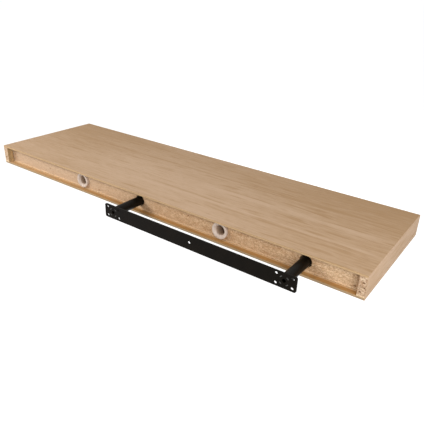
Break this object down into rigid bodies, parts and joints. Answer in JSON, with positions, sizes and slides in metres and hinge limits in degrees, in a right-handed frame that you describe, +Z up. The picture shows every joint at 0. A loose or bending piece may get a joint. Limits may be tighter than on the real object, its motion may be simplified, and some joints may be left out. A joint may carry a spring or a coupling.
{
  "type": "floating wall shelf",
  "caption": "Hollow floating wall shelf: an oak-look board on a chipboard frame with plastic peg sleeves, which slides on to the tube pegs of a black steel wall strip.",
  "frame": {"origin": "centre of the bracket's screw pattern, on the face that lies against the wall", "axes": "+X along the shelf, +Y into the wall, +Z up"},
  "size_m": [0.8, 0.2875, 0.038],
  "materials": {
    "oak_foil": "matt printed oak foil with fine grain along the length",
    "hardboard": "raw amber hardboard with pale sawn edges",
    "chipboard": "sawn raw chipboard with visible flakes",
    "core_paper": "brown kraft paper",
    "staple_wire": "bright drawn wire",
    "white_plastic": "moulded off-white plastic",
    "black_paint": "satin black powder coat"
  },
  "bodies": {
    "bracket": {"wall_strip": "black_paint", "left_peg": "black_paint", "right_peg": "black_paint"},
    "board": {"foil_wrap": "oak_foil", "left_end_band": "oak_foil", "right_end_band": "oak_foil", "top_skin": "hardboard", "front_panel": "hardboard", "bottom_skin": "hardboard", "left_end_rail": "chipboard", "right_end_rail": "chipboard", "front_rail": "chipboard", "back_rail": "chipboard", "inner_rail": "chipboard", "honeycomb_core": "core_paper", "frame_staples": "staple_wire", "left_sleeve": "white_plastic", "right_sleeve": "white_plastic"}
  },
  "joints": [
    {"name": "board_slide", "type": "slide", "parent": "bracket", "child": "board", "axis": [0, -1, 0], "range_m": [-0.0525, 0.04]}
  ]
}
